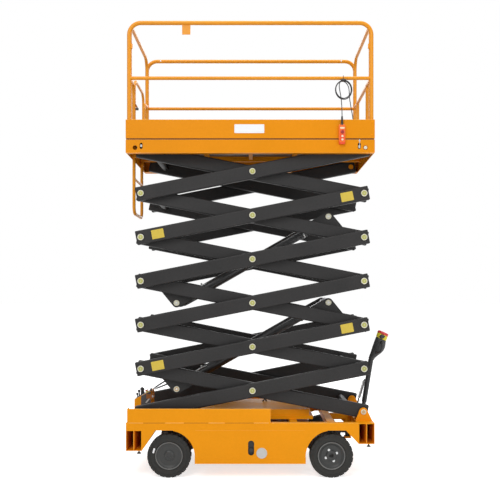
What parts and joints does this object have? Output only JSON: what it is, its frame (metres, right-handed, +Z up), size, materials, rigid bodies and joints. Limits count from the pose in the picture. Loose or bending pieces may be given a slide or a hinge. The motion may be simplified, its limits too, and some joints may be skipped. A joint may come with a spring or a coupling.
{
  "type": "mobile scissor lift",
  "caption": "Mobile scissor lift: towable chassis with a drive handle, crossed-arm stack raised by two cylinders, and a guarded platform with gate, ladder and pendant control.",
  "frame": {"origin": "on the ground under the middle of the outer box", "axes": "+X to the front (handle end), +Y to the left side, +Z up"},
  "size_m": [2.4992, 1.156, 4.1818],
  "materials": {
    "chassis_orange": "semi-gloss orange paint",
    "platform_orange": "semi-gloss orange paint",
    "rail_orange": "semi-gloss orange paint on tube",
    "arm_grey": "satin charcoal paint",
    "axle_black": "black chassis paint",
    "rim_grey": "satin dark grey paint",
    "tyre_rubber": "worn solid rubber",
    "barrel_black": "satin black paint",
    "rod_chrome": "polished chrome",
    "deck_metal": "dark chequered plate",
    "black_plastic": "moulded black plastic",
    "pendant_orange": "moulded orange plastic",
    "cable_black": "black rubber sheath",
    "collar_yellow": "moulded yellow plastic",
    "button_red": "moulded red plastic"
  },
  "bodies": {
    "chassis": {"chassis_frame": "chassis_orange", "outrigger_sockets": "chassis_orange", "side_skirts": "chassis_orange", "belly_tray": "chassis_orange", "power_unit": "axle_black", "power_cover": "chassis_orange", "roller_tracks": "chassis_orange", "ground_control_box": "chassis_orange", "rear_axle": "axle_black", "front_axle": "axle_black", "lowering_valve": "black_plastic"},
    "wheel_rear_right": {"tyre_rear_right": "tyre_rubber", "rim_rear_right": "rim_grey"},
    "wheel_rear_left": {"tyre_rear_left": "tyre_rubber", "rim_rear_left": "rim_grey"},
    "wheel_front_right": {"tyre_front_right": "tyre_rubber", "rim_front_right": "rim_grey"},
    "wheel_front_left": {"tyre_front_left": "tyre_rubber", "rim_front_left": "rim_grey"},
    "knuckle_right": {"knuckle_right": "axle_black"},
    "knuckle_left": {"knuckle_left": "axle_black"},
    "steering_links": {"steering_links": "axle_black"},
    "steering_column": {"steering_column": "axle_black"},
    "drive_handle": {"drive_handle": "axle_black", "handle_head": "black_plastic", "head_collar": "collar_yellow", "head_button": "button_red"},
    "inner_frame_1": {"inner_frame_1": "arm_grey"},
    "outer_arms_1": {"outer_arms_1": "arm_grey"},
    "inner_frame_2": {"inner_frame_2": "arm_grey"},
    "outer_arms_2": {"outer_arms_2": "arm_grey"},
    "inner_frame_3": {"inner_frame_3": "arm_grey"},
    "outer_arms_3": {"outer_arms_3": "arm_grey"},
    "inner_frame_4": {"inner_frame_4": "arm_grey"},
    "outer_arms_4": {"outer_arms_4": "arm_grey"},
    "inner_frame_5": {"inner_frame_5": "arm_grey"},
    "outer_arms_5": {"outer_arms_5": "arm_grey"},
    "inner_frame_6": {"inner_frame_6": "arm_grey"},
    "outer_arms_6": {"outer_arms_6": "arm_grey"},
    "lower_barrel": {"lower_cylinder_barrel": "barrel_black"},
    "lower_rod": {"lower_cylinder_rod": "rod_chrome"},
    "upper_barrel": {"upper_cylinder_barrel": "barrel_black"},
    "upper_rod": {"upper_cylinder_rod": "rod_chrome"},
    "platform": {"platform_frame": "platform_orange", "deck": "deck_metal", "toe_boards": "platform_orange", "right_guardrail": "rail_orange", "left_guardrail": "rail_orange", "front_end_rail": "rail_orange", "rear_end_rail": "rail_orange", "ladder": "rail_orange", "pendant_control": "pendant_orange", "cable_gland": "black_plastic", "cable_coil": "cable_black", "pendant_cable": "cable_black"},
    "entry_gate": {"entry_gate": "rail_orange"}
  },
  "joints": [
    {"name": "scissor_lift", "type": "hinge", "parent": "chassis", "child": "inner_frame_1", "pos_m": [0.93543, 0, 0.59], "axis": [0, 1, 0], "range_deg": [-6.6, 44]},
    {"name": "outer_arms_1_pivot", "type": "hinge", "parent": "inner_frame_1", "child": "outer_arms_1", "pos_m": [-0.09489, 0, 0.79233], "axis": [0, 1, 0], "range_deg": [-88.3, 13.5]},
    {"name": "outer_arms_2_pivot", "type": "hinge", "parent": "inner_frame_1", "child": "outer_arms_2", "pos_m": [-1.12521, 0, 0.99466], "axis": [0, 1, 0], "range_deg": [-88.3, 13.5]},
    {"name": "inner_frame_2_pivot", "type": "hinge", "parent": "outer_arms_2", "child": "inner_frame_2", "pos_m": [-0.09489, 0, 1.19698], "axis": [0, 1, 0], "range_deg": [-13.5, 88.3]},
    {"name": "outer_arms_3_pivot", "type": "hinge", "parent": "inner_frame_2", "child": "outer_arms_3", "pos_m": [-1.12521, 0, 1.39931], "axis": [0, 1, 0], "range_deg": [-88.3, 13.5]},
    {"name": "inner_frame_3_pivot", "type": "hinge", "parent": "outer_arms_3", "child": "inner_frame_3", "pos_m": [-0.09489, 0, 1.60164], "axis": [0, 1, 0], "range_deg": [-13.5, 88.3]},
    {"name": "outer_arms_4_pivot", "type": "hinge", "parent": "inner_frame_3", "child": "outer_arms_4", "pos_m": [-1.12521, 0, 1.80397], "axis": [0, 1, 0], "range_deg": [-88.3, 13.5]},
    {"name": "inner_frame_4_pivot", "type": "hinge", "parent": "outer_arms_4", "child": "inner_frame_4", "pos_m": [-0.09489, 0, 2.0063], "axis": [0, 1, 0], "range_deg": [-13.5, 88.3]},
    {"name": "outer_arms_5_pivot", "type": "hinge", "parent": "inner_frame_4", "child": "outer_arms_5", "pos_m": [-1.12521, 0, 2.20862], "axis": [0, 1, 0], "range_deg": [-88.3, 13.5]},
    {"name": "inner_frame_5_pivot", "type": "hinge", "parent": "outer_arms_5", "child": "inner_frame_5", "pos_m": [-0.09489, 0, 2.41095], "axis": [0, 1, 0], "range_deg": [-13.5, 88.3]},
    {"name": "outer_arms_6_pivot", "type": "hinge", "parent": "inner_frame_5", "child": "outer_arms_6", "pos_m": [-1.12521, 0, 2.61328], "axis": [0, 1, 0], "range_deg": [-88.3, 13.5]},
    {"name": "inner_frame_6_pivot", "type": "hinge", "parent": "outer_arms_6", "child": "inner_frame_6", "pos_m": [-0.09489, 0, 2.81561], "axis": [0, 1, 0], "range_deg": [-13.5, 88.3]},
    {"name": "platform_pivot", "type": "hinge", "parent": "outer_arms_6", "child": "platform", "pos_m": [0.93543, 0, 3.01793], "axis": [0, 1, 0], "range_deg": [-6.9, 44.3]},
    {"name": "lower_cylinder_pivot", "type": "hinge", "parent": "inner_frame_1", "child": "lower_barrel", "pos_m": [-0.80875, 0, 0.78984], "axis": [0, 1, 0], "range_deg": [-84.45, 12.92]},
    {"name": "lower_cylinder_stroke", "type": "slide", "parent": "lower_barrel", "child": "lower_rod", "axis": [0.8686, 0, 0.4954], "range_m": [-0.1636, 1.0792]},
    {"name": "upper_cylinder_pivot", "type": "hinge", "parent": "inner_frame_3", "child": "upper_barrel", "pos_m": [-0.80875, 0, 1.59915], "axis": [0, 1, 0], "range_deg": [-84.45, 12.92]},
    {"name": "upper_cylinder_stroke", "type": "slide", "parent": "upper_barrel", "child": "upper_rod", "axis": [0.8686, 0, 0.4954], "range_m": [-0.1636, 1.0792]},
    {"name": "steering", "type": "hinge", "parent": "chassis", "child": "steering_column", "pos_m": [0.84043, 0, 0.546], "axis": [0, 0, 1], "range_deg": [-30, 30]},
    {"name": "handle_tilt", "type": "hinge", "parent": "steering_column", "child": "drive_handle", "pos_m": [0.99843, 0, 0.546], "axis": [0, 1, 0], "range_deg": [-9.1, 70]},
    {"name": "kingpin_right", "type": "hinge", "parent": "chassis", "child": "knuckle_right", "pos_m": [0.63043, -0.385, 0.2], "axis": [0, 0, 1], "range_deg": [-30.2, 30.2]},
    {"name": "kingpin_left", "type": "hinge", "parent": "chassis", "child": "knuckle_left", "pos_m": [0.63043, 0.385, 0.2], "axis": [0, 0, 1], "range_deg": [-30.2, 30.2]},
    {"name": "tie_rod_pivot", "type": "hinge", "parent": "knuckle_right", "child": "steering_links", "pos_m": [0.52043, -0.385, 0.292], "axis": [0, 0, 1], "range_deg": [-30.2, 30.2]},
    {"name": "wheel_rear_right_spin", "type": "hinge", "parent": "chassis", "child": "wheel_rear_right", "pos_m": [-0.85957, -0.475, 0.2], "axis": [0, 1, 0], "continuous": true},
    {"name": "wheel_rear_left_spin", "type": "hinge", "parent": "chassis", "child": "wheel_rear_left", "pos_m": [-0.85957, 0.475, 0.2], "axis": [0, 1, 0], "continuous": true},
    {"name": "wheel_front_right_spin", "type": "hinge", "parent": "knuckle_right", "child": "wheel_front_right", "pos_m": [0.63043, -0.475, 0.2], "axis": [0, 1, 0], "continuous": true},
    {"name": "wheel_front_left_spin", "type": "hinge", "parent": "knuckle_left", "child": "wheel_front_left", "pos_m": [0.63043, 0.475, 0.2], "axis": [0, 1, 0], "continuous": true},
    {"name": "gate_swing", "type": "hinge", "parent": "platform", "child": "entry_gate", "pos_m": [-1.22057, 0.262, 3.65793], "axis": [0, 0, 1], "range_deg": [0, 90]}
  ],
  "couplings": [
    {"joint": "outer_arms_1_pivot", "follows": "scissor_lift", "ratio": -2},
    {"joint": "outer_arms_2_pivot", "follows": "scissor_lift", "ratio": -2},
    {"joint": "inner_frame_2_pivot", "follows": "scissor_lift", "ratio": 2},
    {"joint": "outer_arms_3_pivot", "follows": "scissor_lift", "ratio": -2},
    {"joint": "inner_frame_3_pivot", "follows": "scissor_lift", "ratio": 2},
    {"joint": "outer_arms_4_pivot", "follows": "scissor_lift", "ratio": -2},
    {"joint": "inner_frame_4_pivot", "follows": "scissor_lift", "ratio": 2},
    {"joint": "outer_arms_5_pivot", "follows": "scissor_lift", "ratio": -2},
    {"joint": "inner_frame_5_pivot", "follows": "scissor_lift", "ratio": 2},
    {"joint": "outer_arms_6_pivot", "follows": "scissor_lift", "ratio": -2},
    {"joint": "inner_frame_6_pivot", "follows": "scissor_lift", "ratio": 2},
    {"joint": "platform_pivot", "follows": "scissor_lift", "ratio": 1},
    {"joint": "lower_cylinder_pivot", "follows": "scissor_lift", "ratio": -1.9125},
    {"joint": "lower_cylinder_stroke", "follows": "scissor_lift", "m_per_rad": 1.4026},
    {"joint": "upper_cylinder_pivot", "follows": "scissor_lift", "ratio": -1.9125},
    {"joint": "upper_cylinder_stroke", "follows": "scissor_lift", "m_per_rad": 1.4026},
    {"joint": "kingpin_right", "follows": "steering", "ratio": 1},
    {"joint": "kingpin_left", "follows": "steering", "ratio": 1},
    {"joint": "tie_rod_pivot", "follows": "steering", "ratio": -1}
  ]
}
